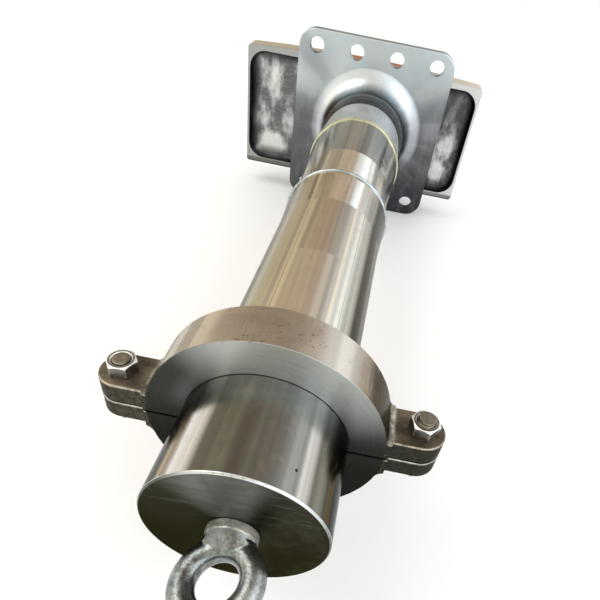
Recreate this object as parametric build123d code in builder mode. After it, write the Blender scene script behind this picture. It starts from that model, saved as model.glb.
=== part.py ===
from build123d import *
import math
import os

# Propeller shaft with a split clamp collar, a lifting eye bolt, a flange plate and a pocketed block.
# Millimetres. The shaft's axis is the Y axis and +Z is up. y = 0 is the flange plate's back face, and the
# near end, with the eye bolt, points along -Y.

os.makedirs("parts", exist_ok=True)

# near journal and end face
near_y = -804.0
journal_r = 63.5
journal_length = 121.0
journal_end_step = 4.5
end_chamfer = 1.2
clamp_seat_r = 62.5
eye_hole_r = 8.0
eye_hole_depth = 30.0

# main body, raised land and the groove for the wire ring
body_near_r = 59.0
body_far_r = 60.8
rise_start_y = -436.0
land_r = 63.8
land_start_y = -374.0
land_end_y = -362.0
wire_y = -367.0
wire_ring_r = 63.4
wire_r = 2.4

# waist, rear cone and the neck that carries the rings, the plate and the block
waist_r = 62.2
cone_start_y = -289.0
shoulder_y = -186.0
neck_r = 62.0
shoulder_step = 6.0
brass_ring_wall = 7.3
sleeve_near_wall = 6.6
sleeve_far_wall = 3.0
sleeve_near_y = -177.0
sleeve_far_y = -88.0

# flange plate and its flared hub
plate_front_y = -14.0
plate_thick = 14.0
plate_width = 262.0
plate_height = 283.0
plate_corner_r = 28.0
plate_edge_r = 1.5
plate_hole_r = 12.0
holes_per_row = 4
hole_edge_x = 29.75
hole_edge_z = 23.5
hub_tip_y = -56.0
hub_wall = 8.0
hub_flare_r = 33.0

# pocketed block behind the plate
block_front_y = 0.0
block_depth = 34.0
block_left_x = -221.0
block_right_x = 187.0
block_bottom_z = -101.0
block_end_z = 97.5
block_crown_z = 105.0
block_corner_r = 5.0
spigot_r = 50.0
pocket_depth = 20.0
pocket_corner_r = 28.0
pocket_floor_r = 12.0
pocket_left_x = -217.0
pocket_right_x = 182.5
pocket_inner_x = 82.0
pocket_bottom_z = -91.5
pocket_top_z = 91.0

# split clamp collar
clamp_setback = 80.0
clamp_width = 39.0
clamp_r = 92.0
seam_half_gap = 0.8
ear_half_thick = 18.0
ear_width = 36.0
ear_root_r = 9.0
root_block_inset = 2.5
ear_edge_r = 1.5
bolt_x = 117.0
bolt_setback = 20.5
ear_hole_r = 7.75

# clamp bolts and nuts, M14
bolt_r = 7.0
hex_across_flats = 21.0
nut_height = 11.0
nut_corner_drop = 1.4
nut_countersink = 1.0
head_height = 8.8
left_bolt_stand_out = 1.0
right_bolt_stand_out = 4.0
left_nut_turn = 26.0
right_nut_turn = 38.0

# lifting eye bolt
eye_shank_length = 27.0
eye_collar_r = 17.5
eye_collar_height = 8.0
eye_reach = 33.0
eye_ring_r = 21.8
eye_wire_r = 8.3
eye_foot_half_width = 19.0
eye_foot_half_thick = 7.6
eye_roll = 15.0

hex_corner_r = hex_across_flats / math.sqrt(3)
block_mid_x = (block_left_x + block_right_x) / 2
block_back_y = block_front_y + block_depth
plate_back_y = plate_front_y + plate_thick
journal_end_y = near_y + journal_length
body_near_y = journal_end_y + journal_end_step
clamp_front_y = near_y + clamp_setback
bolt_y = clamp_front_y + bolt_setback
eye_centre_y = near_y - eye_reach
shoulder_r = neck_r + shoulder_step
brass_ring_r = neck_r + brass_ring_wall
sleeve_near_r = neck_r + sleeve_near_wall
sleeve_far_r = neck_r + sleeve_far_wall
hub_r = neck_r + hub_wall
hole_pitch_x = (plate_width - 2 * hole_edge_x) / (holes_per_row - 1)
hole_pitch_z = plate_height - 2 * hole_edge_z

# the shaft is one forging, turned all over, with a shallow seat that keeps the clamp in its place
with BuildPart() as shaft:
    with BuildSketch(Plane.XY):
        with BuildLine():
            Polyline(
                (0, near_y),
                (journal_r - end_chamfer, near_y),
                (journal_r, near_y + end_chamfer),
                (journal_r, clamp_front_y),
                (clamp_seat_r, clamp_front_y),
                (clamp_seat_r, clamp_front_y + clamp_width),
                (journal_r, clamp_front_y + clamp_width),
                (journal_r, journal_end_y),
                (body_near_r, body_near_y),
                (body_far_r, rise_start_y),
                (land_r, land_start_y),
                (land_r, land_end_y),
                (waist_r, land_end_y + 1.6),
                (waist_r, cone_start_y),
                (shoulder_r, shoulder_y),
                (neck_r, shoulder_y),
                (neck_r, block_front_y),
                (spigot_r, block_front_y),
                (spigot_r, block_back_y - 2),
                (spigot_r - 2, block_back_y),
                (0, block_back_y),
                (0, near_y),
            )
        make_face()
    revolve(axis=Axis.Y)
    # round-bottomed groove that the wire ring sits in
    with BuildSketch(Plane.XY):
        with Locations((wire_ring_r, wire_y)):
            Circle(wire_r)
    revolve(axis=Axis.Y, mode=Mode.SUBTRACT)
    # hole for the shank of the eye bolt
    with BuildSketch(Plane(origin=(0, near_y, 0), x_dir=(1, 0, 0), z_dir=(0, 1, 0))):
        Circle(eye_hole_r)
    extrude(amount=eye_hole_depth, mode=Mode.SUBTRACT)
shaft.part.label = "shaft"

# bright wire ring at the end of the raised land
with BuildPart() as wire_ring:
    with BuildSketch(Plane.XY):
        with Locations((wire_ring_r, wire_y)):
            Circle(wire_r)
    revolve(axis=Axis.Y)
wire_ring.part.label = "wire_ring"

# thin brass ring against the shoulder
with BuildPart() as brass_ring:
    with BuildSketch(Plane.XY):
        with BuildLine():
            Polyline(
                (neck_r, shoulder_y),
                (brass_ring_r - 0.8, shoulder_y),
                (brass_ring_r, shoulder_y + 0.8),
                (brass_ring_r, sleeve_near_y - 0.8),
                (brass_ring_r - 0.8, sleeve_near_y),
                (neck_r, sleeve_near_y),
                (neck_r, shoulder_y),
            )
        make_face()
    revolve(axis=Axis.Y)
brass_ring.part.label = "brass_ring"

# pale sleeve on the neck, behind the brass ring, tapered towards the flange
with BuildPart() as rear_sleeve:
    with BuildSketch(Plane.XY):
        with BuildLine():
            Polyline(
                (neck_r, sleeve_near_y),
                (sleeve_near_r, sleeve_near_y),
                (sleeve_far_r, sleeve_far_y - 1),
                (sleeve_far_r - 1, sleeve_far_y),
                (neck_r, sleeve_far_y),
                (neck_r, sleeve_near_y),
            )
        make_face()
    revolve(axis=Axis.Y)
rear_sleeve.part.label = "rear_sleeve"

# flange plate: rounded rectangle with a flared hub turned out of the same piece
plate_plane = Plane(origin=(0, plate_back_y, 0), x_dir=(1, 0, 0), z_dir=(0, -1, 0))
with BuildPart() as flange_plate:
    with BuildSketch(plate_plane):
        RectangleRounded(plate_width, plate_height, plate_corner_r)
    extrude(amount=plate_thick)
    fillet(flange_plate.faces().sort_by(Axis.Y)[0].edges(), radius=plate_edge_r)
    with BuildSketch(Plane.XY):
        with BuildLine():
            Polyline(
                (hub_r + hub_flare_r, plate_front_y),
                (hub_r + hub_flare_r, plate_front_y + 4),
                (neck_r, plate_front_y + 4),
                (neck_r, hub_tip_y),
                (hub_r - 1, hub_tip_y),
                (hub_r, hub_tip_y + 1),
                (hub_r, plate_front_y - hub_flare_r),
            )
            ThreePointArc(
                (hub_r, plate_front_y - hub_flare_r),
                (
                    hub_r + hub_flare_r * (1 - math.cos(math.radians(45))),
                    plate_front_y - hub_flare_r * (1 - math.sin(math.radians(45))),
                ),
                (hub_r + hub_flare_r, plate_front_y),
            )
        make_face()
    revolve(axis=Axis.Y)
    with BuildSketch(plate_plane):
        Circle(neck_r)
    extrude(amount=plate_back_y - hub_tip_y, mode=Mode.SUBTRACT)
    with BuildSketch(plate_plane):
        with GridLocations(hole_pitch_x, hole_pitch_z, holes_per_row, 2):
            Circle(plate_hole_r)
    extrude(amount=plate_thick, mode=Mode.SUBTRACT)
flange_plate.part.label = "flange_plate"

# block behind the plate, with a crowned top, a bore for the spigot and a pocket in each wing
block_plane = Plane(origin=(0, block_back_y, 0), x_dir=(1, 0, 0), z_dir=(0, -1, 0))
pocket_plane = Plane(origin=(0, block_front_y, 0), x_dir=(1, 0, 0), z_dir=(0, 1, 0))
with BuildPart() as crosshead_block:
    with BuildSketch(block_plane) as block_face:
        with BuildLine():
            Polyline(
                (block_left_x, block_end_z),
                (block_left_x, block_bottom_z),
                (block_right_x, block_bottom_z),
                (block_right_x, block_end_z),
            )
            ThreePointArc(
                (block_right_x, block_end_z),
                (block_mid_x, block_crown_z),
                (block_left_x, block_end_z),
            )
        make_face()
        fillet(block_face.vertices(), radius=block_corner_r)
    extrude(amount=block_depth)
    with BuildSketch(block_plane):
        Circle(spigot_r)
    extrude(amount=block_depth, mode=Mode.SUBTRACT)
    # this plane looks the other way, so its second axis runs down and heights change sign
    pocket_height = pocket_top_z - pocket_bottom_z
    pocket_mid_z = (pocket_top_z + pocket_bottom_z) / 2
    with BuildSketch(pocket_plane):
        with Locations(((pocket_left_x - pocket_inner_x) / 2, -pocket_mid_z)):
            RectangleRounded(-pocket_inner_x - pocket_left_x, pocket_height, pocket_corner_r)
        with Locations(((pocket_right_x + pocket_inner_x) / 2, -pocket_mid_z)):
            RectangleRounded(pocket_right_x - pocket_inner_x, pocket_height, pocket_corner_r)
    extrude(amount=pocket_depth, mode=Mode.SUBTRACT)
    floor_y = block_front_y + pocket_depth
    floor_edges = crosshead_block.edges().filter_by_position(Axis.Y, floor_y - 0.01, floor_y + 0.01)
    fillet(floor_edges, radius=pocket_floor_r)
crosshead_block.part.label = "crosshead_block"

clamp_back_plane = Plane(origin=(0, clamp_front_y + clamp_width, 0), x_dir=(1, 0, 0), z_dir=(0, -1, 0))
ear_back_plane = Plane(origin=(0, bolt_y + ear_width / 2, 0), x_dir=(1, 0, 0), z_dir=(0, -1, 0))

# the ear's root is a small radius that touches the ear's flat side and the collar's round
root_z = ear_half_thick + ear_root_r
root_reach = clamp_r + ear_root_r
root_x = math.sqrt(root_reach**2 - root_z**2)
touch_x = root_x * clamp_r / root_reach
touch_z = root_z * clamp_r / root_reach
lean_x = -root_x / root_reach
lean_z = -1 - root_z / root_reach
lean = math.hypot(lean_x, lean_z)
root_mid_x = root_x + ear_root_r * lean_x / lean
root_mid_z = root_z + ear_root_r * lean_z / lean
ear_inner_x = clamp_r - 16
ear_blank_x = bolt_x + ear_width

# the root block is the inner end of the ear, as wide as the collar, cut off within the root radius
root_block_x = root_x - root_block_inset
root_block_z = root_z - math.sqrt(ear_root_r**2 - root_block_inset**2)
touch_angle = math.atan2(touch_z - root_z, touch_x - root_x)
block_angle = math.atan2(root_block_z - root_z, root_block_x - root_x)
block_arc_angle = (touch_angle + block_angle) / 2
block_arc_x = root_x + ear_root_r * math.cos(block_arc_angle)
block_arc_z = root_z + ear_root_r * math.sin(block_arc_angle)

# upper half of the split clamp collar, with its two ears
with BuildPart() as clamp_upper_half:
    for side in (1, -1):
        with BuildSketch(ear_back_plane):
            with BuildLine():
                Polyline(
                    (side * touch_x, touch_z),
                    (side * ear_inner_x, touch_z + 4),
                    (side * ear_inner_x, 0),
                    (side * ear_blank_x, 0),
                    (side * ear_blank_x, ear_half_thick),
                    (side * root_x, ear_half_thick),
                )
                ThreePointArc(
                    (side * root_x, ear_half_thick),
                    (side * root_mid_x, root_mid_z),
                    (side * touch_x, touch_z),
                )
            make_face()
        extrude(amount=ear_width)
    with BuildSketch(Plane.XY.offset(-1)):
        with Locations((0, bolt_y)):
            SlotCenterToCenter(2 * bolt_x, ear_width)
    extrude(amount=clamp_r, mode=Mode.INTERSECT)
    outer = [e for e in clamp_upper_half.edges() if abs(e.center().X) > touch_x + 0.5]
    outer = [e for e in outer if e.center().Z > ear_half_thick - 0.01]
    rim = [e for e in outer if abs(e.center().Y - bolt_y) > 1 or abs(e.center().X) > bolt_x]
    fillet(rim, radius=ear_edge_r)
    with BuildSketch(clamp_back_plane):
        Circle(clamp_r)
    extrude(amount=clamp_width)
    for side in (1, -1):
        with BuildSketch(clamp_back_plane):
            with BuildLine():
                Polyline(
                    (side * touch_x, touch_z),
                    (side * ear_inner_x, touch_z + 4),
                    (side * ear_inner_x, 0),
                    (side * root_block_x, 0),
                    (side * root_block_x, root_block_z),
                )
                ThreePointArc(
                    (side * root_block_x, root_block_z),
                    (side * block_arc_x, block_arc_z),
                    (side * touch_x, touch_z),
                )
            make_face()
        extrude(amount=clamp_width)
    with BuildSketch(clamp_back_plane):
        with Locations((0, seam_half_gap - clamp_r)):
            Rectangle(2 * ear_blank_x, 2 * clamp_r)
    extrude(amount=clamp_width, mode=Mode.SUBTRACT)
    with BuildSketch(clamp_back_plane):
        Circle(clamp_seat_r)
    extrude(amount=clamp_width, mode=Mode.SUBTRACT)
    with BuildSketch(Plane.XY):
        with Locations((bolt_x, bolt_y), (-bolt_x, bolt_y)):
            Circle(ear_hole_r)
    extrude(amount=ear_half_thick, mode=Mode.SUBTRACT)
clamp_upper_half.part.label = "clamp_upper_half"

# lower half, the same shape turned over
with BuildPart() as clamp_lower_half:
    for side in (1, -1):
        with BuildSketch(ear_back_plane):
            with BuildLine():
                Polyline(
                    (side * touch_x, -touch_z),
                    (side * ear_inner_x, -touch_z - 4),
                    (side * ear_inner_x, 0),
                    (side * ear_blank_x, 0),
                    (side * ear_blank_x, -ear_half_thick),
                    (side * root_x, -ear_half_thick),
                )
                ThreePointArc(
                    (side * root_x, -ear_half_thick),
                    (side * root_mid_x, -root_mid_z),
                    (side * touch_x, -touch_z),
                )
            make_face()
        extrude(amount=ear_width)
    with BuildSketch(Plane.XY.offset(1)):
        with Locations((0, bolt_y)):
            SlotCenterToCenter(2 * bolt_x, ear_width)
    extrude(amount=-clamp_r, mode=Mode.INTERSECT)
    outer = [e for e in clamp_lower_half.edges() if abs(e.center().X) > touch_x + 0.5]
    outer = [e for e in outer if e.center().Z < 0.01 - ear_half_thick]
    rim = [e for e in outer if abs(e.center().Y - bolt_y) > 1 or abs(e.center().X) > bolt_x]
    fillet(rim, radius=ear_edge_r)
    with BuildSketch(clamp_back_plane):
        Circle(clamp_r)
    extrude(amount=clamp_width)
    for side in (1, -1):
        with BuildSketch(clamp_back_plane):
            with BuildLine():
                Polyline(
                    (side * touch_x, -touch_z),
                    (side * ear_inner_x, -touch_z - 4),
                    (side * ear_inner_x, 0),
                    (side * root_block_x, 0),
                    (side * root_block_x, -root_block_z),
                )
                ThreePointArc(
                    (side * root_block_x, -root_block_z),
                    (side * block_arc_x, -block_arc_z),
                    (side * touch_x, -touch_z),
                )
            make_face()
        extrude(amount=clamp_width)
    with BuildSketch(clamp_back_plane):
        with Locations((0, clamp_r - seam_half_gap)):
            Rectangle(2 * ear_blank_x, 2 * clamp_r)
    extrude(amount=clamp_width, mode=Mode.SUBTRACT)
    with BuildSketch(clamp_back_plane):
        Circle(clamp_seat_r)
    extrude(amount=clamp_width, mode=Mode.SUBTRACT)
    with BuildSketch(Plane.XY):
        with Locations((bolt_x, bolt_y), (-bolt_x, bolt_y)):
            Circle(ear_hole_r)
    extrude(amount=-ear_half_thick, mode=Mode.SUBTRACT)
clamp_lower_half.part.label = "clamp_lower_half"

# hexagon bolts, heads underneath, ends standing out above the nuts
nut_top_z = ear_half_thick + nut_height
left_bolt_top_z = nut_top_z + left_bolt_stand_out
right_bolt_top_z = nut_top_z + right_bolt_stand_out
with BuildPart() as clamp_bolt_left:
    with BuildSketch(Plane.XY.offset(-ear_half_thick - head_height)):
        with Locations((-bolt_x, bolt_y)):
            RegularPolygon(hex_corner_r, 6, rotation=left_nut_turn)
    extrude(amount=head_height)
    with BuildSketch(Plane.XY.offset(-ear_half_thick)):
        with Locations((-bolt_x, bolt_y)):
            Circle(bolt_r)
    extrude(amount=ear_half_thick + left_bolt_top_z)
    chamfer(clamp_bolt_left.faces().sort_by(Axis.Z)[-1].edges(), length=0.8)
clamp_bolt_left.part.label = "clamp_bolt_left"

with BuildPart() as clamp_bolt_right:
    with BuildSketch(Plane.XY.offset(-ear_half_thick - head_height)):
        with Locations((bolt_x, bolt_y)):
            RegularPolygon(hex_corner_r, 6, rotation=right_nut_turn)
    extrude(amount=head_height)
    with BuildSketch(Plane.XY.offset(-ear_half_thick)):
        with Locations((bolt_x, bolt_y)):
            Circle(bolt_r)
    extrude(amount=ear_half_thick + right_bolt_top_z)
    chamfer(clamp_bolt_right.faces().sort_by(Axis.Z)[-1].edges(), length=0.8)
clamp_bolt_right.part.label = "clamp_bolt_right"

# hexagon nuts: a hexagon whose corners are trimmed by a cone at both ends, with a countersunk hole
with BuildPart() as clamp_nut_left:
    with BuildSketch(Plane.XY.offset(ear_half_thick)):
        with Locations((-bolt_x, bolt_y)):
            RegularPolygon(hex_corner_r, 6, rotation=left_nut_turn)
    extrude(amount=nut_height)
    with BuildSketch(Plane(origin=(-bolt_x, bolt_y, 0), x_dir=(1, 0, 0), z_dir=(0, -1, 0))):
        with BuildLine():
            Polyline(
                (bolt_r, ear_half_thick),
                (hex_across_flats / 2 - 0.3, ear_half_thick),
                (hex_corner_r + 0.1, ear_half_thick + nut_corner_drop),
                (hex_corner_r + 0.1, nut_top_z - nut_corner_drop),
                (hex_across_flats / 2 - 0.6, nut_top_z),
                (bolt_r + nut_countersink, nut_top_z),
                (bolt_r, nut_top_z - nut_countersink),
                (bolt_r, ear_half_thick),
            )
        make_face()
    revolve(axis=Axis((-bolt_x, bolt_y, 0), (0, 0, 1)), mode=Mode.INTERSECT)
clamp_nut_left.part.label = "clamp_nut_left"

with BuildPart() as clamp_nut_right:
    with BuildSketch(Plane.XY.offset(ear_half_thick)):
        with Locations((bolt_x, bolt_y)):
            RegularPolygon(hex_corner_r, 6, rotation=right_nut_turn)
    extrude(amount=nut_height)
    with BuildSketch(Plane(origin=(bolt_x, bolt_y, 0), x_dir=(1, 0, 0), z_dir=(0, -1, 0))):
        with BuildLine():
            Polyline(
                (bolt_r, ear_half_thick),
                (hex_across_flats / 2 - 0.3, ear_half_thick),
                (hex_corner_r + 0.1, ear_half_thick + nut_corner_drop),
                (hex_corner_r + 0.1, nut_top_z - nut_corner_drop),
                (hex_across_flats / 2 - 0.6, nut_top_z),
                (bolt_r + nut_countersink, nut_top_z),
                (bolt_r, nut_top_z - nut_countersink),
                (bolt_r, ear_half_thick),
            )
        make_face()
    revolve(axis=Axis((bolt_x, bolt_y, 0), (0, 0, 1)), mode=Mode.INTERSECT)
clamp_nut_right.part.label = "clamp_nut_right"

# forged eye bolt: shank, round collar seated on the end face, and a foot that widens from the collar to the ring
roll = math.radians(eye_roll)
eye_collar_front_y = near_y - eye_collar_height
eye_foot_y = eye_centre_y + eye_ring_r - eye_wire_r / 2
ring_plane = Plane(
    origin=(0, eye_centre_y, 0),
    x_dir=(math.cos(roll), 0, math.sin(roll)),
    z_dir=(-math.sin(roll), 0, math.cos(roll)),
)
with BuildPart() as eye_bolt:
    with BuildSketch(Plane.XY):
        with BuildLine():
            Polyline(
                (0, near_y + eye_shank_length),
                (eye_hole_r - 1.5, near_y + eye_shank_length),
                (eye_hole_r, near_y + eye_shank_length - 1.5),
                (eye_hole_r, near_y),
                (eye_collar_r, near_y),
                (eye_collar_r, eye_collar_front_y + 1.5),
                (eye_collar_r - 1.5, eye_collar_front_y),
                (0, eye_collar_front_y),
                (0, near_y + eye_shank_length),
            )
        make_face()
    revolve(axis=Axis.Y)
    ring_x_dir = (math.cos(roll), 0, math.sin(roll))
    with BuildSketch(Plane(origin=(0, eye_collar_front_y, 0), x_dir=ring_x_dir, z_dir=(0, -1, 0))):
        Circle(eye_collar_r - 1.5)
    with BuildSketch(Plane(origin=(0, eye_foot_y, 0), x_dir=ring_x_dir, z_dir=(0, -1, 0))):
        Ellipse(eye_foot_half_width, eye_foot_half_thick)
    loft()
    with Locations(Location(ring_plane)):
        Torus(eye_ring_r, eye_wire_r)
eye_bolt.part.label = "eye_bolt"

export_step(shaft.part, "parts/shaft.step")
export_step(wire_ring.part, "parts/wire_ring.step")
export_step(brass_ring.part, "parts/brass_ring.step")
export_step(rear_sleeve.part, "parts/rear_sleeve.step")
export_step(flange_plate.part, "parts/flange_plate.step")
export_step(crosshead_block.part, "parts/crosshead_block.step")
export_step(clamp_upper_half.part, "parts/clamp_upper_half.step")
export_step(clamp_lower_half.part, "parts/clamp_lower_half.step")
export_step(clamp_bolt_left.part, "parts/clamp_bolt_left.step")
export_step(clamp_bolt_right.part, "parts/clamp_bolt_right.step")
export_step(clamp_nut_left.part, "parts/clamp_nut_left.step")
export_step(clamp_nut_right.part, "parts/clamp_nut_right.step")
export_step(eye_bolt.part, "parts/eye_bolt.step")
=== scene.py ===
# %% [markdown]
# # A propeller shaft, from turned steel to lifting eye
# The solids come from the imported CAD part, which fixes every size. This lesson dresses them. Round pieces
# are spun from half profiles, flat pieces are extruded and cut with Booleans, and each finish is built
# from nodes. Lengths are typed in millimetres, as on a workshop drawing, and scaled to metres where a
# mesh is made.

# %% The frame
import math

import bmesh
import bpy
from mathutils import Matrix, Vector


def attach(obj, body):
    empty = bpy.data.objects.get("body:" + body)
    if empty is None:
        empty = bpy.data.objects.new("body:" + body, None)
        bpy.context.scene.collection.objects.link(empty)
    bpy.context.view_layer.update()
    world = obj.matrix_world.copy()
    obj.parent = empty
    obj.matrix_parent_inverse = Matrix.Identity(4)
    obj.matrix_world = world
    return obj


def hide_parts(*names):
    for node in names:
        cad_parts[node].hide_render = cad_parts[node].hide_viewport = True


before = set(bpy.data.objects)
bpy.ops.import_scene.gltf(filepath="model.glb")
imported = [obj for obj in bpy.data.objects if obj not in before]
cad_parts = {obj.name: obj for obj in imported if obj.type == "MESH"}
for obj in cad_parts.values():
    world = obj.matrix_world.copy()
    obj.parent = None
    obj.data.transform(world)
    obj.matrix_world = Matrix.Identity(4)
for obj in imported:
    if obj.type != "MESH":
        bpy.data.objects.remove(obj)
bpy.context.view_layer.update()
MM = 0.001

# %% [markdown]
# ## Camera
# The picture looks down on the shaft from beyond its near end, with a short lens, so the near face is
# large and the plate is small. It was cropped off centre, and the two shift values stand for that crop.
# Three vectors give the camera's own directions.

# %% Camera
def placed(name, data):
    """A new object in the scene that holds a mesh, a camera or a lamp."""
    made = bpy.data.objects.new(name, data)
    bpy.context.scene.collection.objects.link(made)
    return made


camera_data = bpy.data.cameras.new("camera")
camera_data.sensor_width = 36
camera_data.lens = 29.74
camera_data.shift_x = -0.0713
camera_data.shift_y = 0.0975
camera_data.clip_start = 0.01
camera = placed("camera", camera_data)
camera.location = (0.0478, -0.954, 0.3052)
rightwards = Vector((0.97985, 0.13871, 0.14372))
downwards = Vector((0.19968, -0.66326, -0.72126))
forwards = Vector((-0.00472, 0.73543, -0.67759))
camera.rotation_euler = Matrix((rightwards, -downwards, -forwards)).transposed().to_euler()
bpy.context.scene.camera = camera
print("camera turned", [round(math.degrees(a), 2) for a in camera.rotation_euler])

# %% [markdown]
# ## Shader arithmetic
# A finish is easier to read as sums than as a list of nodes. A Wire holds one output of a node: adding or
# multiplying wires adds Math nodes, and the node method adds any other node, its settings first and then
# its inputs. A mask is a wire between 0 and 1, and can show one colour over another.

# %% Wires
class Wire:
    """One socket of a node tree, so that shader maths reads as arithmetic."""

    def __init__(self, tree, socket=None):
        self.tree = tree
        self.socket = socket

    def node(self, kind, settings=None, inputs=None, out=0):
        """Adds a node. The stops of a colour ramp are given as the setting "stops"."""
        made = self.tree.nodes.new(kind)
        for name, value in (settings or {}).items():
            if name == "stops":
                elements = made.color_ramp.elements
                elements[0].position, elements[0].color = value[0]
                elements[1].position, elements[1].color = value[-1]
                for place, colour in value[1:-1]:
                    elements.new(place).color = colour
            else:
                setattr(made, name, value)
        for name, value in (inputs or {}).items():
            if isinstance(value, Wire):
                self.tree.links.new(value.socket, made.inputs[name])
            else:
                made.inputs[name].default_value = value
        return Wire(self.tree, made.outputs[out])

    def maths(self, operation, *values):
        return self.node("ShaderNodeMath", {"operation": operation}, dict(enumerate(values)))

    def __add__(self, other):
        return self.maths("ADD", self, other)

    def __sub__(self, other):
        return self.maths("SUBTRACT", self, other)

    def __mul__(self, other):
        return self.maths("MULTIPLY", self, other)

    def __rsub__(self, other):
        return self.maths("SUBTRACT", other, self)

    __radd__ = __add__
    __rmul__ = __mul__

    def rise(self, low, high):
        """0 below low, 1 above high, smooth between."""
        values = {"Value": self, "From Min": low, "From Max": high}
        return self.node("ShaderNodeMapRange", {"interpolation_type": "SMOOTHSTEP"}, values)

    def past(self, border, blur=1):
        """0 before a border and 1 past it, soft for blur on each side."""
        return self.rise(border - blur, border + blur)

    def mix(self, how, below, above, amount):
        """Blends two colours, each of them a wire or three numbers."""
        below, above = [c if isinstance(c, Wire) else (*c, 1) for c in (below, above)]
        settings = {"data_type": "RGBA", "blend_type": how}
        return self.node("ShaderNodeMix", settings, {0: amount, 6: below, 7: above}, out=2)

    def over(self, below, above):
        """This mask shows colour above over colour below."""
        return self.mix("MIX", below, above, self)

    def toned(self, tone):
        """This colour made darker or lighter by a factor."""
        return self.mix("MULTIPLY", self, tone, 1)

    def axis(self, name):
        return self.node("ShaderNodeSeparateXYZ", {}, {0: self}, out="XYZ".index(name))

    def stretch(self, x, y, z):
        return self.node("ShaderNodeMapping", {}, {"Vector": self, "Scale": (x, y, z)})

    def noise(self, size, detail=3, rough=0.55):
        """Cloudy 0 to 1 pattern, with features about size millimetres across."""
        values = {"Vector": self, "Scale": 1 / size, "Detail": detail, "Roughness": rough}
        return self.node("ShaderNodeTexNoise", {}, values)

    def joined(self, x, y=0, z=0):
        """Three values as one place, for a noise that follows a curve instead of the axes."""
        return self.node("ShaderNodeCombineXYZ", {}, {0: x, 1: y, 2: z})


print("shader arithmetic ready")

# %% [markdown]
# ## Materials
# Every finish starts from Blender's principled shader and from Object coordinates, here in millimetres.
# Bare metal needs a colour and a roughness. Some steels also get a tint that dims what they mirror at a
# grazing angle.

# %% Materials
def grey(value):
    return (value, value, value)


def new_material(name):
    """A material, its principled shader, and a wire with Object coordinates in millimetres."""
    material = bpy.data.materials.new(name)
    material.use_nodes = True
    tree = material.node_tree
    shader = tree.nodes["Principled BSDF"]
    metres = Wire(tree).node("ShaderNodeTexCoord", out=3)
    place = metres.node("ShaderNodeVectorMath", {"operation": "SCALE"}, {0: metres, 3: 1 / MM})
    return material, shader, place


def plug(shader, socket, wire):
    wire.tree.links.new(wire.socket, shader.inputs[socket])


def metal(shader, colour, roughness, edge_tint=None):
    """Bare metal. The edge tint darkens what it mirrors at a grazing angle."""
    plug(shader, "Base Color", colour)
    plug(shader, "Roughness", roughness)
    shader.inputs["Metallic"].default_value = 1
    if edge_tint:
        shader.inputs["Specular Tint"].default_value = (*edge_tint, 1)


def bump(shader, height, strength, depth=0.0002):
    """Height 0 to 1 stands for depth metres of relief."""
    relief = height.node("ShaderNodeBump", {}, {"Height": height, "Strength": strength, "Distance": depth})
    plug(shader, "Normal", relief)


print("material helpers ready")

# %% [markdown]
# ## Masks round the shaft
# Round work is described by the distance from its axis and by the angle round it. The angle is 0 at the
# top and rises to the right, seen from the near end. These masks pick out strips, sides and spots.

# %% Masks round the shaft
def round_axis(place):
    """Distance from the shaft's axis."""
    x = place.axis("X")
    z = place.axis("Z")
    squares = x * x + z * z
    return squares.maths("SQRT", squares)


def turn_angle(place):
    """Degrees round the shaft's axis."""
    x = place.axis("X")
    return x.maths("ARCTAN2", x, place.axis("Z")) * (180 / math.pi)


def strip(value, start, full, fade, end):
    """1 between full and fade, 0 outside start and end."""
    return value.rise(start, full) * (1 - value.rise(fade, end))


def flanks(angle, left, right, depth=0.9):
    """Factor that darkens both sides, beyond an angle on the left and one on the right."""
    right_side = strip(angle, right, right + 12, 84, 110)
    left_side = strip(angle, -110, -84, left - 13, left)
    return 1 - (right_side + left_side) * depth


def spot(place, centre, radius, edge=0.6):
    """1 near a point, 0 beyond radius, and soft from edge times radius outwards."""
    gap = place.node("ShaderNodeVectorMath", {"operation": "DISTANCE"}, {0: place, 1: centre}, out=1)
    return 1 - gap.rise(radius * edge, radius)


def stripes(angle, colour, rows):
    """Paints soft strips over a colour, one for each row of a table, in the order of the rows."""
    for start, full, fade, end, strength, paint in rows:
        colour = (strip(angle, start, full, fade, end) * strength).over(colour, paint)
    return colour


print("masks ready")

# %% [markdown]
# ## Stripes on the turned steel
# Polished steel mirrors what stands round it. In the picture that gives each stretch of the shaft its own
# light and dark stripes, which are painted here by angle. A row holds four angles, where the stripe
# starts, is full, fades and ends, then its strength and its colour.

# %% Stripes
JOURNAL_STRIPES = (
    (-80, -70, -56, -47, 1, (0.06, 0.055, 0.045)), (-50, -47, -46, -44, 0.7, (0.62, 0.48, 0.3)),
    (-43, -37, -31, -22, 1, (1, 0.97, 0.93)), (-45, -43, -42, -39, 0.5, (0.55, 0.42, 0.32)),
    (-17, -14, -13, -10, 0.5, (0.34, 0.33, 0.25)), (-13, -11, -9, -6, 0.5, (0.28, 0.265, 0.21)),
    (-8, -4, 0, 4, 0.8, (0.165, 0.14, 0.12)), (3, 4.5, 5.5, 7, 0.35, (0.24, 0.24, 0.215)),
    (8, 11, 14, 18, 0.8, (0.235, 0.2, 0.17)), (17, 20, 24, 28, 0.8, (0.15, 0.14, 0.125)),
    (24, 28, 30, 36, 1, (0.25, 0.24, 0.215)), (32, 36, 40, 44, 1, (0.6, 0.57, 0.52)),
    (57, 60, 63, 66, 0.9, (0.9, 0.66, 0.28)),
)
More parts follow.
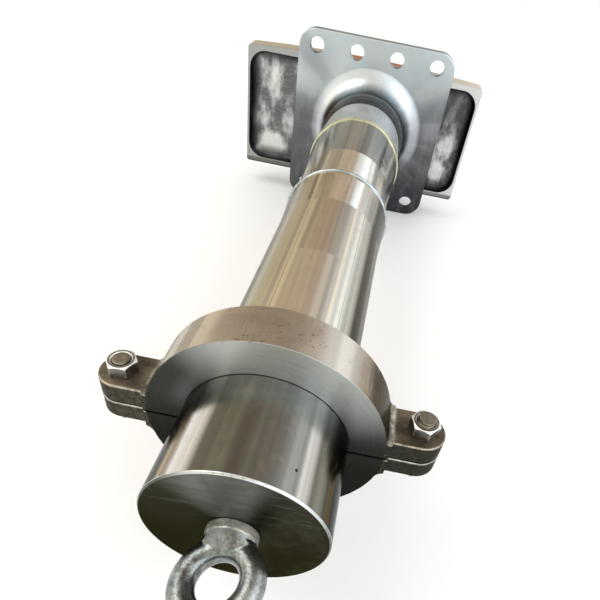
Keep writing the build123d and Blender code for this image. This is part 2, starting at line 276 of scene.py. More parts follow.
BODY_STRIPES = (
    (-60, -53, -40, -36, 1, (0.56, 0.5, 0.36)), (-40, -36, -31, -28, 0.9, (0.64, 0.55, 0.36)),
    (-30, -27, -25, -22, 0.9, (0.57, 0.49, 0.37)), (-23, -20, -17, -14, 0.8, (0.82, 0.72, 0.52)),
    (2, 5, 8, 11, 0.7, (0.78, 0.61, 0.49)), (11, 13, 16, 18, 0.8, (0.84, 0.73, 0.64)),
    (17, 20, 24, 28, 0.9, (0.38, 0.35, 0.3)), (26, 30, 31, 35, 1, (0.46, 0.45, 0.4)),
    (31, 36, 46, 60, 1, (0.68, 0.67, 0.6)), (36.4, 36.9, 37.3, 37.8, 0.5, (0.3, 0.28, 0.24)),
    (-20.8, -20.3, -20, -19.5, 0.6, (0.28, 0.24, 0.18)),
)
REDDISH_STRIPES = (
    (-10, -6, 5, 10, 0.7, (0.6, 0.46, 0.35)), (8, 12, 22, 27, 0.7, (0.46, 0.42, 0.36)),
    (-17, -14, -12, -9, 0.5, (0.44, 0.38, 0.26)),
)
SWELL_STRIPES = (
    (-29, -27, -25, -23, 0.8, (0.29, 0.25, 0.2)), (-22, -19, -8, -4, 0.8, (0.6, 0.51, 0.38)),
    (-4, 0, 9, 12, 0.8, (0.86, 0.72, 0.57)), (16, 19, 25, 28, 1, (0.94, 0.94, 0.89)),
    (28, 31, 46, 50, 0.9, (0.5, 0.48, 0.43)),
)
WAIST_STRIPES = (
    (-60, -54, -40, -36, 1, (0.94, 0.9, 0.72)), (-36, -34, -28, -24, 0.9, (0.36, 0.31, 0.24)),
    (-26, -22, -9, -5, 1, (0.5, 0.43, 0.33)), (3, 6, 8, 10, 0.9, (0.84, 0.7, 0.54)),
    (9, 12, 26, 30, 1, (0.92, 0.92, 0.87)), (29, 32, 33, 36, 0.8, (0.66, 0.64, 0.56)),
    (33, 36, 40, 43, 0.8, (0.3, 0.29, 0.26)), (42, 45, 50, 55, 0.9, (0.72, 0.68, 0.58)),
)
CONE_STRIPES = (
    (-60, -55, -41, -37, 1, (0.94, 0.92, 0.83)), (-36, -33, -31, -29, 0.8, (0.5, 0.47, 0.41)),
    (-6, -3, 5, 8, 0.9, (0.45, 0.42, 0.38)), (-10, -9, -8, -7, 0.5, (0.2, 0.19, 0.17)),
    (9, 12, 40, 44, 0.9, (0.18, 0.17, 0.15)), (19, 21, 23, 26, 0.6, (0.3, 0.28, 0.25)),
    (42, 45, 58, 64, 1, (0.95, 0.95, 0.88)), (62, 74, 175, 181, 1, (0.62, 0.56, 0.45)),
    (-181, -175, -74, -62, 1, (0.62, 0.56, 0.45)),
)
print("stripes on the journal:", len(JOURNAL_STRIPES), "and on the cone:", len(CONE_STRIPES))

# %% [markdown]
# ## Stretches of the shaft
# The shaft's axis is Y, and the back of the flange plate is at 0. The finish changes where the diameter
# does: the near journal is dark, the main body is straw coloured, with a reddish stretch before its
# raised land, and the cone by the flange is greyer.

# %% Stretches of the shaft
NEAR_END = -804
CLAMP_FRONT = -724
JOURNAL_BACK = -683
REDDISH_FRONT = -547.6
BODY_BEND = -436
LAND_FRONT = -374
LAND_BACK = -362
CONE_FRONT = -289
SLEEVE_BACK = -88


def stretches(along, angle):
    """The colour of the journal, body, waist, cone and rear tube, each with its own stripes."""
    past_journal = along.past(JOURNAL_BACK)
    # Painted reflection: the journal next to the clamp is painted slate grey, for the clamp's face that it
    # mirrors.
    clamp_face_reflection = along.rise(CLAMP_FRONT - 34, CLAMP_FRONT - 14) * (1 - past_journal)
    journal = stripes(angle, (0.2, 0.195, 0.16), JOURNAL_STRIPES)
    journal = (clamp_face_reflection * 0.7).over(journal, (0.19, 0.205, 0.205))
    body = stripes(angle, (0.72, 0.61, 0.46), BODY_STRIPES)
    colour = past_journal.over(journal, body)
    before_land = 1 - along.rise(LAND_FRONT - 1, LAND_FRONT + 0.5)
    reddish_stretch = along.rise(REDDISH_FRONT, REDDISH_FRONT + 2) * before_land
    colour = reddish_stretch.over(colour, stripes(angle, body, REDDISH_STRIPES))
    swelling = along.rise(BODY_BEND - 4, BODY_BEND + 0.5) * before_land
    colour = swelling.over(colour, stripes(angle, body, SWELL_STRIPES))
    waist = along.rise(LAND_BACK + 1, LAND_BACK + 2)
    colour = waist.over(colour, stripes(angle, body, WAIST_STRIPES))
    cone = stripes(angle, (0.35, 0.34, 0.31), CONE_STRIPES)
    colour = along.past(CONE_FRONT).over(colour, cone)
    # Painted shade: behind the sleeve the neck is painted almost black, for the shade between the sleeve and
    # the hub.
    return along.past(SLEEVE_BACK).over(colour, (0.05, 0.055, 0.055))


def painted_dark_sides(along, angle):
    """Painted reflection: a factor that darkens both sides of each stretch for the dark of the shop they
    mirror, with a painted glint low on the right.
    """
    past_journal = along.past(JOURNAL_BACK)
    before_bend = 1 - along.rise(BODY_BEND - 4, BODY_BEND)
    glint = strip(angle, 66, 69, 72, 76) * past_journal * before_bend
    sides = past_journal.over(flanks(angle, -48, 49), flanks(angle, -46, 44) + glint * 0.25)
    sides = along.rise(LAND_BACK, LAND_BACK + 4).over(sides, flanks(angle, -60, 47))
    return along.rise(CONE_FRONT - 21, CONE_FRONT + 19).over(sides, flanks(angle, -60, 57))


print("stretches from", NEAR_END, "to", SLEEVE_BACK, "mm")

# %% [markdown]
# ## Turned steel
# A lathe leaves fine rings round the work, and the shop adds long smears, oil and fine scratches. Noise
# drawn out along the shaft gives the smears, noise squeezed along it gives the tool rings.

# %% Turned steel
def turned_steel(name, edge_tint):
    material, shader, place = new_material(name)
    along = place.axis("Y")
    drawn_out = place.stretch(1, 0.012, 1)
    waver = drawn_out.noise(30, 2) - 0.5
    angle = turn_angle(place) + waver * 7
    broad = drawn_out.noise(13, 3).rise(0.36, 0.64)
    fine = drawn_out.noise(3, 3).rise(0.34, 0.66)
    rings = place.stretch(0.02, 3, 0.02).noise(1, 2)
    clouds = place.noise(38, 4)
    smears = place.noise(11, 5, 0.6)
    streaks = 0.8 + broad * 0.24 + fine * 0.1 + rings * 0.05
    # Painted reflections: the stripes of each stretch, with painted shade on both sides.
    colour = stretches(along, angle).toned(streaks * painted_dark_sides(along, angle))
    smudges = smears.rise(0.5, 0.75) * strip(angle, -48, -38, 38, 48)
    colour = (smudges * 0.22).over(colour, (0.42, 0.36, 0.29))
    pit = spot(place, (32.8, NEAR_END + 18.2, 54.4), 1.3)
    colour = pit.over(colour, grey(0.02))
    metal(shader, colour, 0.12 + clouds * 0.08 + smears.rise(0.4, 0.7) * 0.06, grey(edge_tint))
    bump(shader, rings + broad * 0.5, 0.08)
    return material


steel_turned = turned_steel("steel_turned", 0.6)
steel_rear = turned_steel("steel_rear", 1)
print("finishes", steel_turned.name, steel_rear.name)

# %% [markdown]
# ## End face and chamfer
# The near end was faced flat. It is oily, and painted dark for the dark surroundings that it mirrors,
# darkest low down and paler towards the top: painted reflection. A pale streak and a soft paler wedge above
# its middle are painted highlights, and there are a few fine lines. The chamfer round it is painted bright
# on top and dull at its sides: a painted reflection of the light above.

# %% End face and chamfer
def end_steel(name):
    material, shader, place = new_material(name)
    angle = turn_angle(place)
    radius = round_axis(place)
    clouds = place.noise(30, 4)
    rubs = place.stretch(0.25, 1, 1).noise(5, 4, 0.6)
    turning = radius.joined(radius).noise(0.8, 2)
    height = place.axis("Z") + clouds * 30
    # Painted reflection: near black low down, a little paler above.
    colour = height.rise(-10, 80).over((0.027, 0.0255, 0.018), (0.048, 0.047, 0.037))
    # Painted highlights: a pale streak and a soft wedge above the middle.
    painted_highlight_streak = strip(angle, -18, -13, -9, -4) * height.rise(0, 30)
    colour = (painted_highlight_streak * 0.5).over(colour, (0.22, 0.225, 0.21))
    painted_highlight_wedge = strip(angle, -56, -20, 8, 34) * height.rise(-24, 34)
    colour = (painted_highlight_wedge * (0.35 + rubs * 1)).over(colour, (0.2, 0.205, 0.19))
    # Pale mottling, towards the right.
    pale_marks = place.noise(14, 6, 0.65).rise(0.44, 0.66) * place.axis("X").rise(-40, 30)
    colour = (pale_marks * 0.2).over(colour, (0.1, 0.095, 0.07))
    lines = place.stretch(0.08, 1, 1.6).noise(2.2, 3, 0.6).rise(0.6, 0.68) * height.rise(10, 60)
    colour = (lines * 0.3).over(colour, (0.3, 0.31, 0.29))
    stain = spot(place, (22, NEAR_END, 27), 9, 0.1) * rubs.rise(0.45, 0.6)
    colour = stain.over(colour, grey(0.02))
    metal(shader, colour, 0.34 + clouds * 0.1 + turning * 0.04, (0.42, 0.42, 0.38))
    bump(shader, turning + rubs * 0.6, 0.12)
    return material


def edge_steel(name):
    material, shader, place = new_material(name)
    nicks = place.noise(4, 4, 0.6)
    # Painted reflection: the chamfer is painted bright on top, for the light above.
    top_light = ((-50, -12, 46, 84, 1, (0.62, 0.67, 0.7)),)
    colour = stripes(turn_angle(place), (0.1, 0.1, 0.09), top_light)
    colour = (nicks.rise(0.55, 0.7) * 0.5).over(colour, (0.2, 0.2, 0.18))
    metal(shader, colour, 0.25 + nicks * 0.1)
    return material


steel_end = end_steel("steel_end")
steel_edge = edge_steel("steel_edge")
print("finishes", steel_end.name, steel_edge.name)

# %% [markdown]
# ## Plain metals
# The small pieces share one recipe: a colour, a second colour spread over it by noise, and the roughness
# and relief of the real surface. The last two numbers are the width of the patches in millimetres and the
# roughness.

# %% Plain metals
def plain_metal(name, colour, second, patch, rough):
    material, shader, place = new_material(name)
    patches = place.noise(patch, 5, 0.6).rise(0.25, 0.75)
    grain = place.noise(0.6, 2)
    metal(shader, patches.over(colour, second), rough + patches * 0.1 + grain * 0.04)
    bump(shader, patches * 0.5 + grain, 0.1)
    return material


bright_edge = plain_metal("bright_edge", (0.7, 0.71, 0.7), (0.34, 0.33, 0.3), 9, 0.28)
wire_steel = plain_metal("wire_steel", (0.3, 0.34, 0.35), (0.54, 0.59, 0.61), 6, 0.2)
brass = plain_metal("brass", (0.6, 0.58, 0.36), (0.8, 0.78, 0.52), 12, 0.22)
pale_steel = plain_metal("pale_steel", (0.44, 0.46, 0.47), (0.58, 0.59, 0.6), 20, 0.38)
nut_steel = plain_metal("nut_steel", (0.13, 0.125, 0.115), (0.27, 0.26, 0.24), 5, 0.3)
nut_chamfer_highlight = plain_metal("nut_chamfer_highlight", (0.95, 0.94, 0.92), (0.7, 0.68, 0.64), 6, 0.38)
thread_steel = plain_metal("thread_steel", (0.17, 0.15, 0.115), (0.26, 0.23, 0.175), 4, 0.35)
back_steel = plain_metal("back_steel", (0.34, 0.35, 0.34), (0.5, 0.51, 0.5), 30, 0.34)
print("plain metals ready")

# %% [markdown]
# ## Clamp steel
# The collar's front face was faced flat and is slate grey, painted with reflections: near black low down,
# a pale band across the top and a paler patch at the inner left. Its rim is browner, with short dark
# scratches round it, and the ears are olive brown from oil, with bright edges. Distance from the axis tells
# these three apart.

# %% Clamp steel
CLAMP_RADIUS = 92
EAR_TOP = 18
RIM_STRIPES = (
    (-60, -53, -48, -45, 0.8, (0.74, 0.7, 0.62)), (-45, -43, -41, -38, 0.7, (0.42, 0.36, 0.29)),
    (-38, -36, -32, -24, 0.6, (0.84, 0.74, 0.59)), (18, 23, 39, 43, 1, (0.5, 0.46, 0.4)),
    (26, 30, 34, 38, 0.6, (0.76, 0.72, 0.64)),
)


def clamp_face(angle, radius, height, clouds, arcs):
    # Painted reflection: near black low down, paler higher up.
    colour = (height + clouds * 30).rise(-10, 60).over((0.015, 0.015, 0.013), (0.045, 0.047, 0.043))
    # Painted reflection: a pale band across the top.
    colour = strip(angle, -54, -12, 30, 82).over(colour, (0.58, 0.61, 0.595))
    # Painted reflection: a paler patch at the inner left.
    inner_left = strip(angle, -85, -60, -42, -20) * (1 - radius.rise(66, 82))
    colour = (inner_left * 0.16).over(colour, (0.42, 0.44, 0.43))
    # Turning marks, painted stronger at the top and right: partly painted highlight.
    marks = arcs.rise(0.5, 0.7) * (0.04 + strip(angle, -30, 0, 60, 90) * 0.16)
    return marks.over(colour, (0.16, 0.17, 0.165))


def clamp_rim(angle, clouds):
    colour = clouds.rise(0.3, 0.7).over((0.4, 0.33, 0.26), (0.51, 0.425, 0.34))
    # Painted reflection stripes by angle, and painted shade on both sides.
    return stripes(angle, colour, RIM_STRIPES).toned(flanks(angle, -52, 42, 0.82))


def clamp_ears(place, radius, height, clouds, fine):
    colour = fine.rise(0.38, 0.62).over((0.045, 0.042, 0.031), (0.085, 0.08, 0.063))
    top = (clouds + fine * 0.3).rise(0.45, 0.85).over((0.07, 0.058, 0.04), (0.23, 0.195, 0.145))
    colour = height.past(EAR_TOP - 0.5, 0.3).over(colour, top)
    # Painted shade: the right ear's front is painted darker.
    right_front_shade = place.axis("X").rise(60, 100) * (1 - height.rise(EAR_TOP - 2, EAR_TOP - 1))
    colour = (right_front_shade * 0.6).over(colour, (0.02, 0.02, 0.015))
    # Pale root and edges: worn metal, with painted highlights along the top and seam edges.
    root = strip(radius, CLAMP_RADIUS + 0.4, CLAMP_RADIUS + 2, CLAMP_RADIUS + 5, CLAMP_RADIUS + 9)
    pale_marks = root * height.rise(EAR_TOP - 0.1, EAR_TOP + 0.6) * (0.3 + fine.rise(0.4, 0.62) * 0.7)
    top_edge = strip(height, EAR_TOP - 1.6, EAR_TOP - 1.1, EAR_TOP - 0.4, EAR_TOP - 0.1)
    seam_edge = strip(height, -2.6, -2, -1, -0.8)
    pale_marks = pale_marks + (top_edge + seam_edge) * (0.35 + fine.rise(0.3, 0.6) * 0.65)
    return (pale_marks * 0.75).over(colour, (0.6, 0.56, 0.48))


print("clamp's face, rim and ears ready")

# %% [markdown]
# ## Clamp steel, put together
# The rim shows behind the face, and the ears outside the rim. The seam between the halves is dark, and the
# gap at the bore is painted dark: painted shade. Scratches run round the rim, so their noise follows the
# angle instead of the axes.

# %% Clamp steel, put together
JOURNAL_RADIUS = 63.5


def clamp_steel(name):
    material, shader, place = new_material(name)
    radius = round_axis(place)
    angle = turn_angle(place)
    along = place.axis("Y")
    height = place.axis("Z")
    clouds = place.noise(30, 5, 0.6)
    fine = place.noise(4, 4, 0.6)
    round_rim = angle.joined(angle * 1.6, along, radius)
    arcs = round_rim.stretch(0.06, 1, 1).noise(2, 3)
    face = 1 - along.rise(CLAMP_FRONT + 0.4, CLAMP_FRONT + 1.6)
    rim = radius.rise(CLAMP_RADIUS - 1.2, CLAMP_RADIUS - 0.4)
    ear = radius.rise(CLAMP_RADIUS + 0.3, CLAMP_RADIUS + 1)
    face_colour = clamp_face(angle, radius, height, clouds, arcs)
    colour = rim.over(face_colour, clamp_rim(angle, clouds))
    colour = (face * (1 - ear)).over(colour, face_colour)
    colour = ear.over(colour, clamp_ears(place, radius, height, clouds, fine))
    seam = strip(height, -2.2, -1.5, 0.6, 1) * (1 - ear)
    colour = (seam * 0.9).over(colour, grey(0.012))
    on_rim = (1 - ear) * rim
    scores = round_rim.stretch(0.42, 0.8, 0.2).noise(1.7, 4, 0.7)
    scratches = scores.rise(0.58, 0.63) * place.noise(17, 3).rise(0.46, 0.62) * on_rim
    colour = (scratches * 0.8).over(colour, (0.12, 0.095, 0.075))
    lines = round_rim.stretch(1, 0.05, 0.1).noise(1.2, 2).rise(0.62, 0.7) * on_rim
    colour = (lines * 0.35).over(colour, (0.7, 0.62, 0.52))
    # Painted shade in the gap between the bore and the journal.
    bore = 1 - radius.rise(JOURNAL_RADIUS + 0.4, JOURNAL_RADIUS + 0.8)
    colour = (bore * 0.9).over(colour, grey(0.02))
    metal(shader, colour, 0.26 + clouds * 0.12 + (face + ear) * 0.12, (0.6, 0.6, 0.57))
    bump(shader, clouds * 0.5 + fine * (0.2 + ear * 0.6) - scratches, 0.2)
    return material


steel_clamp = clamp_steel("steel_clamp")
print("finish", steel_clamp.name)

# %% [markdown]
# ## Plate steel
# The plate is satin and bluish, painted with reflections: dark low down and light above, darker patches
# left and right of the middle, a lighter one at the upper left, and fans and rays of lighter and darker
# steel out from the hub. The flare rolls through every direction, and is painted with a bright ring that is
# open at the bottom, a painted highlight, and brown on its left, a painted reflection. The hub's tube is
# painted dark: painted shade.

# %% Plate steel
PLATE_FRONT = -14
HUB_RADIUS = 70
# Painted reflections fanning out from the hub.
FAN_STRIPES = (
    (-74, -67, -61, -55, 0.3, (0.56, 0.59, 0.62)), (-55, -50, -45, -38, 0.35, (0.17, 0.18, 0.2)),
    (40, 47, 52, 58, 0.25, (0.62, 0.66, 0.68)), (57, 62, 67, 72, 0.35, (0.16, 0.17, 0.19)),
    (71, 76, 84, 92, 0.25, (0.5, 0.53, 0.56)),
)


def plate_steel(name):
    material, shader, place = new_material(name)
    clouds = place.noise(70, 3)
    angle = turn_angle(place)
    radius = round_axis(place)
    rays = angle.joined(angle, radius * 0.08).noise(9, 3)
    streaks = place.stretch(1, 1, 0.25).noise(9, 3)
    upwards = place.axis("Z") - place.axis("X") * 0.2 + clouds * 60
    # Painted reflection: dark low down, light above.
    colour = upwards.rise(-120, 20).over((0.042, 0.042, 0.048), (0.125, 0.13, 0.14))
    colour = upwards.rise(20, 150).over(colour, (0.52, 0.585, 0.61))
    # Painted highlight: a bright ring on the flare, open at the bottom, stronger on the left.
    flare_highlight = strip(radius, 76, 84, 92, 101) * strip(angle, -130, -90, 90, 132)
    colour = (flare_highlight * 0.5).over(colour, (0.7, 0.745, 0.8))
    left_flare_highlight = strip(radius, 72, 77, 84, 93) * strip(angle, -125, -105, -62, -35)
    colour = (left_flare_highlight * 0.55).over(colour, (0.86, 0.87, 0.9))
    # Painted shade left and right of the middle, and painted light at the upper left.
    left_middle = spot(place, (-118, PLATE_FRONT, 10), 70, 0)
    colour = (left_middle * 0.75).over(colour, (0.11, 0.11, 0.13))
    right_middle = spot(place, (112, PLATE_FRONT, 0), 55, 0)
    colour = (right_middle * 0.4).over(colour, (0.12, 0.12, 0.135))
    upper_left = spot(place, (-105, PLATE_FRONT, 100), 60, 0)
    colour = (upper_left * 0.6).over(colour, (0.3, 0.33, 0.35))
    # Painted reflections: rays out from the hub.
    near_hub = 1 - radius.rise(80, 150)
    colour = (rays.rise(0.45, 0.65) * near_hub * 0.1).over(colour, (0.7, 0.74, 0.76))
    colour = radius.rise(94, 112).over(colour, stripes(angle, colour, FAN_STRIPES))
    colour = (streaks.rise(0.4, 0.8) * 0.1).over(colour, (0.6, 0.63, 0.63))
    # Painted shade on the hub's tube.
    tube = 1 - radius.rise(HUB_RADIUS + 0.3, HUB_RADIUS + 4)
    colour = (tube * 0.6).over(colour, (0.08, 0.085, 0.085))
    # Painted reflection: brown on the left of the flare.
    brown_reflection = strip(radius, 60, 66, 73, 80) * strip(angle, -88, -74, -58, -44)
    colour = (brown_reflection * 0.75).over(colour, (0.075, 0.05, 0.03))
    metal(shader, colour, 0.27 + clouds * 0.14, grey(0.5))
    bump(shader, streaks + rays, 0.06)
    return material


steel_plate = plate_steel("steel_plate")
print("finish", steel_plate.name)

# %% [markdown]
# ## Block steel
# The block's rim is clean grey, painted darker to the left, along its low front and on its underside:
# painted shade. The middle of its top has rusted. Its pockets were milled and left dark, with silvery
# patches where they were rubbed bright, partly painted highlights, painted shade by their walls and at
# the upper right, and the left pocket painted a little lighter. Distance from the point midway between the
# outer walls of the two pockets finds both of them.

# %% Block steel
BLOCK_BOTTOM, BLOCK_SHOULDER, BLOCK_BACK = -101, 97.5, 34
POCKET_LEFT, POCKET_RIGHT = -217, 182.5
POCKET_BOTTOM, POCKET_TOP = -91.5, 91
POCKET_FLOOR = 20
POCKETS_MIDDLE = (POCKET_LEFT + POCKET_RIGHT) / 2
POCKET_REACH = (POCKET_RIGHT - POCKET_LEFT) / 2


def pocket_floor(sideways, height, outwards, patches, marks):
    colour = (patches * (0.5 + marks * 0.6)).over((0.075, 0.078, 0.08), (0.9, 0.92, 0.92))
    colour = (marks.rise(0.45, 0.7) * 0.3).over(colour, (0.3, 0.31, 0.31))
    # Painted light: the left pocket is a little lighter.
    left_wing = 1 - sideways.rise(-60, 60)
    colour = (left_wing * 0.12).over(colour, (0.5, 0.51, 0.5))
    # Painted shade at the upper right.
    upper_right = sideways.rise(60, 90) * height.rise(-20, 50)
    colour = (upper_right * 0.75).over(colour, (0.07, 0.075, 0.08))
    # Painted shade by the pocket's walls.
    above_below = POCKET_TOP - height.maths("ABSOLUTE", height)
    from_wall = outwards.maths("MINIMUM", POCKET_REACH - outwards, above_below)
    return ((1 - from_wall.rise(4, 22)) * 0.9).over(colour, (0.03, 0.031, 0.033))


def block_rim(along, sideways, height, clouds):
    # Painted shade: darker to the left.
    colour = (sideways + clouds * 40).rise(-200, 190).over((0.33, 0.34, 0.33), (0.58, 0.6, 0.59))
    # Painted shade along the low front strip.
    front_low = (1 - height.rise(POCKET_BOTTOM - 2.5, POCKET_BOTTOM + 0.5)) * (1 - along.rise(2, 5))
    colour = (front_low * 0.8).over(colour, (0.1, 0.1, 0.095))
    # Painted shade on the underside.
    underside = 1 - height.past(BLOCK_BOTTOM + 2, 0.5)
    return underside.over(colour, (0.02, 0.02, 0.018))


print("pockets reach", POCKET_REACH, "mm from", POCKETS_MIDDLE)

# %% [markdown]
# ## Block steel, put together
# Each row of the table is a bright spot, rubbed metal with a painted highlight: how much it is squeezed in
# height, its centre, its radius, the share of the radius that is full, and its strength.

# %% Block steel, put together
RUBBED_AND_HIGHLIT_SPOTS = (
    (0.5, (-176, POCKET_FLOOR, 22), 28, 0, 1), (1, (-178, POCKET_FLOOR, -72), 36, 0.3, 2.4),
    (0.5, (148, POCKET_FLOOR, 32), 22, 0, 0.8), (0.5, (150, POCKET_FLOOR, 0), 22, 0, 0.8),
    (1, (149, POCKET_FLOOR, -60), 27, 0.3, 1.5),
)


def block_steel(name):
    material, shader, place = new_material(name)
    along = place.axis("Y")
    height = place.axis("Z")
    sideways = place.axis("X")
    clouds = place.noise(30, 4)
    reach = sideways - POCKETS_MIDDLE
    outwards = reach.maths("ABSOLUTE", reach)
    pocket = strip(along, 0.6, 2, POCKET_FLOOR + 0.6, POCKET_FLOOR + 1)
    pocket = pocket * height.rise(POCKET_BOTTOM - 1, POCKET_BOTTOM - 0.1)
    pocket = pocket * (1 - height.past(POCKET_TOP + 1, 0.5))
    pocket = pocket * (1 - outwards.rise(POCKET_REACH + 1.25, POCKET_REACH + 2.25))
    patches = place.stretch(1, 1, 0.5).noise(24, 6, 0.6)
    for flat, centre, radius, edge, strength in RUBBED_AND_HIGHLIT_SPOTS:
        patches = patches + spot(place.stretch(1, 1, flat), centre, radius, edge) * (strength * 0.16)
    patches = patches.rise(0.44, 0.74)
    marks = place.stretch(0.4, 1, 1.4).noise(5, 3)
    rim_colour = block_rim(along, sideways, height, clouds)
    colour = pocket.over(rim_colour, pocket_floor(sideways, height, outwards, patches, marks))
    top = height.past(BLOCK_SHOULDER - 3) * strip(along, 0.8, 1.4, BLOCK_BACK - 1.2, BLOCK_BACK - 0.6)
    rust = (strip(sideways, -90, -50, 50, 90) + marks - 0.5).rise(0.42, 0.58)
    colour = top.over(colour, rust.over((0.66, 0.57, 0.46), (0.62, 0.22, 0.09)))
    metal(shader, colour, 0.34 + patches * 0.1)
    bump(shader, marks * pocket * 0.5 + patches * pocket * 0.4 + clouds * 0.1, 0.25, 0.0006)
    return material


steel_block = block_steel("steel_block")
print("finish", steel_block.name)

# %% [markdown]
# ## Zinc plating
# The eye bolt is drop forged and zinc plated, so it is mottled blue grey and pitted. Its collar is
# yellower and less shiny than its ring. The crease where the ring meets the collar is painted darker,
# painted shade, and the ring's right side is painted lighter, painted light.

# %% Zinc plating
EYE_COLLAR_FRONT = -812


def zinc(name):
    material, shader, place = new_material(name)
    along = place.axis("Y")
    mottle = place.noise(7, 6, 0.7)
    pits = place.noise(2, 4, 0.7)
    grain = place.noise(0.9, 3)
    patches = place.noise(22, 3)
    colour = (mottle * 0.6 + pits * 0.4).rise(0.38, 0.64).over((0.09, 0.095, 0.09), (0.34, 0.36, 0.35))
    dull = (0.35 + mottle.rise(0.35, 0.6) * 0.65).over((0.055, 0.055, 0.045), (0.5, 0.49, 0.44))
    collar = along.rise(EYE_COLLAR_FRONT + 0.8, EYE_COLLAR_FRONT + 1.8)
    colour = collar.over(colour, dull)
    # Painted shade in the crease where the ring meets the collar.
    shoulder = along.rise(EYE_COLLAR_FRONT - 3, EYE_COLLAR_FRONT - 1) * (1 - collar)
    colour = (shoulder * 0.7).over(colour, (0.13, 0.135, 0.13))
    colour = (patches.rise(0.45, 0.7) * 0.4).over(colour, (0.22, 0.28, 0.3))
    colour = pits.rise(0.6, 0.72).over(colour, (0.07, 0.07, 0.065))
    # Painted light on the ring's right side.
    right_side = strip(place.axis("X"), 2, 24, 24, 30)
    colour = (right_side * 0.4).over(colour, (0.46, 0.47, 0.44))
    metal(shader, colour, 0.15 + mottle * 0.18)
    plug(shader, "Metallic", 1 - collar * 0.5)
    bump(shader, mottle * 0.6 + pits * 0.5 + grain * 0.3, 0.42, 0.0006)
    return material


zinc_plating = zinc("zinc_plating")
print("finish", zinc_plating.name)

# %% [markdown]
# ## Round pieces
# Everything turned on a lathe is a half profile spun round the axis. A ring of round bar is the same,
# with a circle for its profile.

# %% Round pieces
def spun(profile, steps=160, closed=False, centre=(0, 0, 0), axis=(0, 1, 0)):
    """Spins points of (distance from the axis, place along it), in millimetres, into a solid."""
    bm = bmesh.new()
    lengthwise = Vector(axis)
    outwards = Vector((1, 0, 0))
    verts = [bm.verts.new((outwards * r + lengthwise * h) * MM) for r, h in profile]
    edges = [bm.edges.new(pair) for pair in zip(verts, verts[1:] + (verts[:1] if closed else []))]
    bmesh.ops.spin(bm, geom=verts + edges, axis=axis, angle=math.tau, steps=steps, use_merge=True)
    bmesh.ops.remove_doubles(bm, verts=bm.verts, dist=0.02 * MM)
    bmesh.ops.translate(bm, verts=bm.verts, vec=Vector(centre) * MM)
    bmesh.ops.recalc_face_normals(bm, faces=bm.faces)
    return bm


def round_section(distance, along, radius, segments):
    """The profile of a ring of round bar."""
    turns = [math.tau * i / segments for i in range(segments)]
    return [(distance + radius * math.cos(t), along + radius * math.sin(t)) for t in turns]


print("helpers for round pieces ready")

# %% [markdown]
# ## Edges and pieces
# Machined corners always carry a small break, so sharp edges are bevelled, and the new faces can be given
# a brighter steel. A finished mesh becomes a piece, which is attached to its body, and the CAD node that it
# stands for is hidden.

# %% Edges and pieces
def break_edges(bm, width, segments=2, sharper=30, where=None, finish=None):
    """Rounds edges sharper than an angle by width millimetres; finish is the slot of the new faces."""
    edges = [e for e in bm.edges if e.is_manifold and math.degrees(e.calc_face_angle(0)) > sharper]
    if where:
        edges = [e for e in edges if where((e.verts[0].co + e.verts[1].co) / 2 / MM)]
    made = bmesh.ops.bevel(bm, geom=edges, offset=width * MM, segments=segments, profile=0.5,
                           affect="EDGES", clamp_overlap=True, material=-1)
    if finish is not None:
        for face in made["faces"]:
            face.material_index = finish
    return bm


def piece(bm, name, node, finishes, smooth=32):
    """Turns the bmesh into an object that rides on the part and stands for its CAD node."""
    mesh = bpy.data.meshes.new(name)
    bm.to_mesh(mesh)
    bm.free()
    for finish in finishes:
        mesh.materials.append(finish)
    mesh.shade_smooth()
    mesh.set_sharp_from_angle(angle=math.radians(smooth))
    made = placed(name, mesh)
    weighted = made.modifiers.new("flat faces stay flat", "WEIGHTED_NORMAL")
    weighted.keep_sharp = True
    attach(made, "root")
    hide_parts(node)
    print(name, len(mesh.polygons), "faces")


print("helpers for edges and pieces ready")

# %% [markdown]
# ## The shaft
# One forging, turned all over: a near journal, a slimmer body that grows towards the flange, a raised
# land with a groove for the wire ring, a straight waist, a slow cone, a neck for the brass ring, the
# sleeve and the plate, and a spigot in the block. Every face is given the number of its finish.

# %% Shaft
CHAMFER = 1.2
CONE_RADIUS = 68
NECK_RADIUS = 62
SPIGOT_RADIUS = 50
BRASS_FRONT = -186
FINISHES = [steel_turned, bright_edge, steel_end, steel_edge, steel_rear, back_steel]
TURNED, BROKEN, END, EDGE, REAR, BACK = range(len(FINISHES))

shaft_profile = [
    (0, NEAR_END), (JOURNAL_RADIUS - CHAMFER, NEAR_END), (JOURNAL_RADIUS, NEAR_END + CHAMFER),
    (JOURNAL_RADIUS, JOURNAL_BACK), (59, JOURNAL_BACK + 4.5), (60.8, BODY_BEND), (63.8, LAND_FRONT),
    (63.8, LAND_BACK), (62.2, LAND_BACK + 1.6), (62.2, CONE_FRONT), (CONE_RADIUS, BRASS_FRONT),
    (NECK_RADIUS, BRASS_FRONT), (NECK_RADIUS, 0), (SPIGOT_RADIUS, 0), (SPIGOT_RADIUS, BLOCK_BACK - 2),
    (SPIGOT_RADIUS - 2, BLOCK_BACK), (0, BLOCK_BACK),
]
shaft = spun(shaft_profile, steps=192)
break_edges(shaft, 0.4, 2, 20, finish=BROKEN)
for face in shaft.faces:
    middle = face.calc_center_median() / MM
    outside = math.hypot(middle.x, middle.z) > JOURNAL_RADIUS - CHAMFER
    if NEAR_END < middle.y < NEAR_END + CHAMFER and outside:
        face.material_index = EDGE
    if middle.y < NEAR_END + 0.1:
        face.material_index = END
    if middle.y > LAND_BACK + 1 and face.material_index == TURNED:
        face.material_index = REAR
    if middle.y > BLOCK_BACK - 2:
        face.material_index = BACK
piece(shaft, "turned_shaft", "shaft", FINISHES)

